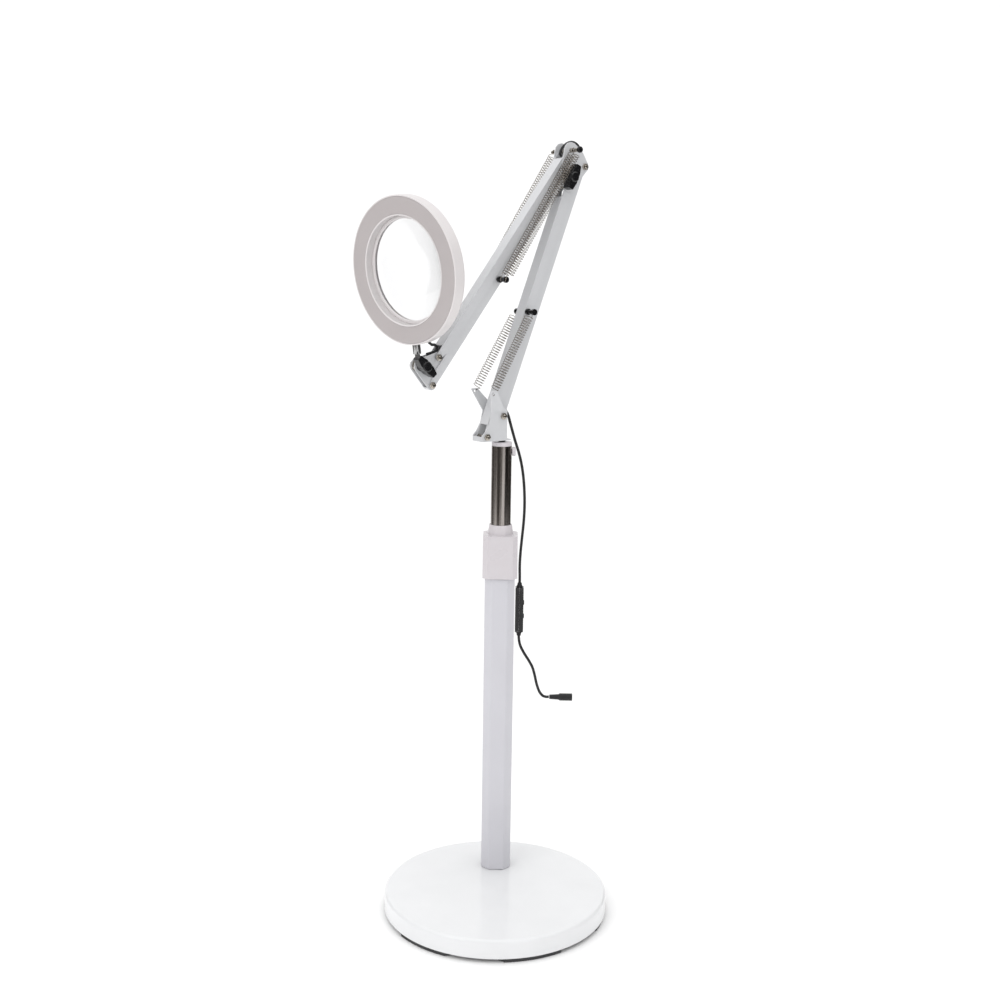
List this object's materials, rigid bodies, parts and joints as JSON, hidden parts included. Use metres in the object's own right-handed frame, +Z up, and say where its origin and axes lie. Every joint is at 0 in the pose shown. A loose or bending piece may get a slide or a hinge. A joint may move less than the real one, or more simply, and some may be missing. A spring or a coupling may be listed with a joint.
{
  "type": "magnifying lamp",
  "caption": "Free-standing magnifying lamp: a round weighted base and a square pole with a sliding tube carry a sprung parallel-bar arm with a ring light around a lens.",
  "frame": {"origin": "on the floor, on the axis of the pole and its sliding tube", "axes": "+Z up along the pole; -X from the pole towards the lamp head, in the plane the arm folds in; -Y towards the side with the wing knobs"},
  "size_m": [0.2968, 0.28, 0.9598],
  "materials": {
    "white_paint": "smooth satin powder coat",
    "chrome": "polished",
    "steel": "plated",
    "spring_steel": "plated coil wire",
    "cast_iron": "as cast",
    "black_plastic": "fine moulded grain",
    "white_plastic": "moulded, satin gloss",
    "diffuser_plastic": "translucent, smooth",
    "circuit_board": "white solder mask",
    "grey_plastic": "moulded, satin",
    "rubber": "matt",
    "lens_glass": "polished"
  },
  "bodies": {
    "stand": {"anti_slip_mat": "rubber", "base_weight": "cast_iron", "base_cover": "white_paint", "pole_bolt": "steel", "pole_foot_plug": "black_plastic", "pole": "white_paint", "pole_bush": "black_plastic"},
    "collar": {"lock_collar": "grey_plastic"},
    "tube": {"inner_tube": "chrome", "tube_cap": "white_plastic"},
    "lock_screw": {"tube_lock_screw": "grey_plastic"},
    "swivel": {"swivel_pin": "black_plastic", "base_bracket": "white_paint", "lower_front_screw": "steel", "lower_rear_screw": "steel", "upper_cord": "rubber", "controller_front": "black_plastic", "controller_rear": "black_plastic", "lower_cord": "rubber", "dc_socket": "rubber"},
    "power_key": {"power_button": "grey_plastic"},
    "dimmer_key": {"dimmer_button": "grey_plastic"},
    "lower_front": {"lower_front_bar": "white_paint", "lower_spring_pin": "steel", "lower_spring_near_spool": "black_plastic", "lower_spring_far_cap": "black_plastic", "lower_near_spring": "spring_steel", "lower_far_spring": "spring_steel"},
    "lower_rear": {"lower_rear_bar": "white_paint"},
    "elbow": {"elbow_plate_near": "white_paint", "elbow_plate_far": "white_paint", "elbow_front_screw": "steel", "elbow_rear_screw": "steel", "elbow_knob_bolt": "steel", "elbow_spring_post": "steel", "elbow_post_cap": "black_plastic", "elbow_lead": "rubber"},
    "elbow_wing_knob": {"elbow_knob": "black_plastic"},
    "upper_rear": {"upper_rear_bar": "white_paint", "upper_spring_pin": "steel", "upper_spring_near_spool": "black_plastic", "upper_spring_far_cap": "black_plastic", "upper_inner_spring": "spring_steel", "upper_outer_spring": "spring_steel", "upper_far_spring": "spring_steel"},
    "upper_front": {"upper_front_bar": "white_paint"},
    "head_carrier": {"head_bracket": "white_paint", "head_rear_screw": "steel", "head_front_screw": "steel", "head_pivot_bolt": "steel", "head_lead": "rubber"},
    "head_wing_knob": {"head_knob": "black_plastic"},
    "head_joint": {"knuckle": "steel"},
    "head": {"head_stem": "chrome", "ring_housing": "white_plastic", "light_diffuser": "diffuser_plastic", "led_board": "circuit_board", "lens": "lens_glass", "lens_retainer": "white_plastic"}
  },
  "joints": [
    {"name": "collar_twist", "type": "hinge", "parent": "stand", "child": "collar", "pos_m": [0, 0, 0.4172], "axis": [0, 0, 1], "range_deg": [-40, 40]},
    {"name": "height_slide", "type": "slide", "parent": "stand", "child": "tube", "axis": [0, 0, 1], "range_m": [-0.085, 0.18]},
    {"name": "arm_swivel", "type": "hinge", "parent": "tube", "child": "swivel", "pos_m": [0, 0, 0.5889], "axis": [0, 0, 1], "range_deg": [-170, 170]},
    {"name": "lock_screw_turn", "type": "hinge", "parent": "tube", "child": "lock_screw", "pos_m": [0, 0, 0.5766], "axis": [0.8192, -0.5736, 0], "range_deg": [-90, 90]},
    {"name": "lower_arm_tilt", "type": "hinge", "parent": "swivel", "child": "lower_front", "pos_m": [-0.0295, 0, 0.5969], "axis": [0, 1, 0], "range_deg": [-50, 5], "deforming": ["lower_near_spring", "lower_far_spring", "elbow_lead"]},
    {"name": "lower_rear_tilt", "type": "hinge", "parent": "swivel", "child": "lower_rear", "pos_m": [-0.0055, 0, 0.6219], "axis": [0, 1, 0], "range_deg": [-50, 5]},
    {"name": "elbow_level", "type": "hinge", "parent": "lower_front", "child": "elbow", "pos_m": [0.08871, 0, 0.9034], "axis": [0, 1, 0], "range_deg": [-5, 50]},
    {"name": "upper_arm_tilt", "type": "hinge", "parent": "elbow", "child": "upper_rear", "pos_m": [0.08321, 0, 0.9137], "axis": [0, 1, 0], "range_deg": [-3, 95], "deforming": ["upper_inner_spring", "upper_outer_spring", "upper_far_spring", "elbow_lead", "head_lead"]},
    {"name": "upper_front_tilt", "type": "hinge", "parent": "elbow", "child": "upper_front", "pos_m": [0.0908, 0, 0.9467], "axis": [0, 1, 0], "range_deg": [-3, 95]},
    {"name": "head_level", "type": "hinge", "parent": "upper_rear", "child": "head_carrier", "pos_m": [-0.10709, 0, 0.66317], "axis": [0, 1, 0], "range_deg": [-95, 3]},
    {"name": "elbow_knob_turn", "type": "hinge", "parent": "elbow", "child": "elbow_wing_knob", "pos_m": [0.08321, 0, 0.9137], "axis": [0, 1, 0], "range_deg": [-3, 23]},
    {"name": "head_tilt", "type": "hinge", "parent": "head_carrier", "child": "head_joint", "pos_m": [-0.122, 0, 0.6865], "axis": [0, 1, 0], "range_deg": [-70, 20], "deforming": ["head_lead"]},
    {"name": "head_swivel", "type": "hinge", "parent": "head_joint", "child": "head", "pos_m": [-0.122, 0, 0.6865], "axis": [-0.1323, 0, 0.9912], "range_deg": [-62, 38], "deforming": ["head_lead"]},
    {"name": "head_knob_turn", "type": "hinge", "parent": "head_carrier", "child": "head_wing_knob", "pos_m": [-0.122, 0, 0.6865], "axis": [0, 1, 0], "range_deg": [-150, 150]},
    {"name": "power_press", "type": "slide", "parent": "swivel", "child": "power_key", "axis": [0.8192, -0.5736, 0], "range_m": [-0.0008, 0], "stiffness_N_per_m": 800, "springref_m": 0.0005},
    {"name": "dimmer_press", "type": "slide", "parent": "swivel", "child": "dimmer_key", "axis": [0.8192, -0.5736, 0], "range_m": [-0.0008, 0], "stiffness_N_per_m": 800, "springref_m": 0.0005}
  ],
  "couplings": [
    {"joint": "lower_rear_tilt", "follows": "lower_arm_tilt", "ratio": 1},
    {"joint": "elbow_level", "follows": "lower_arm_tilt", "ratio": -1},
    {"joint": "upper_front_tilt", "follows": "upper_arm_tilt", "ratio": 1},
    {"joint": "head_level", "follows": "upper_arm_tilt", "ratio": -1}
  ]
}
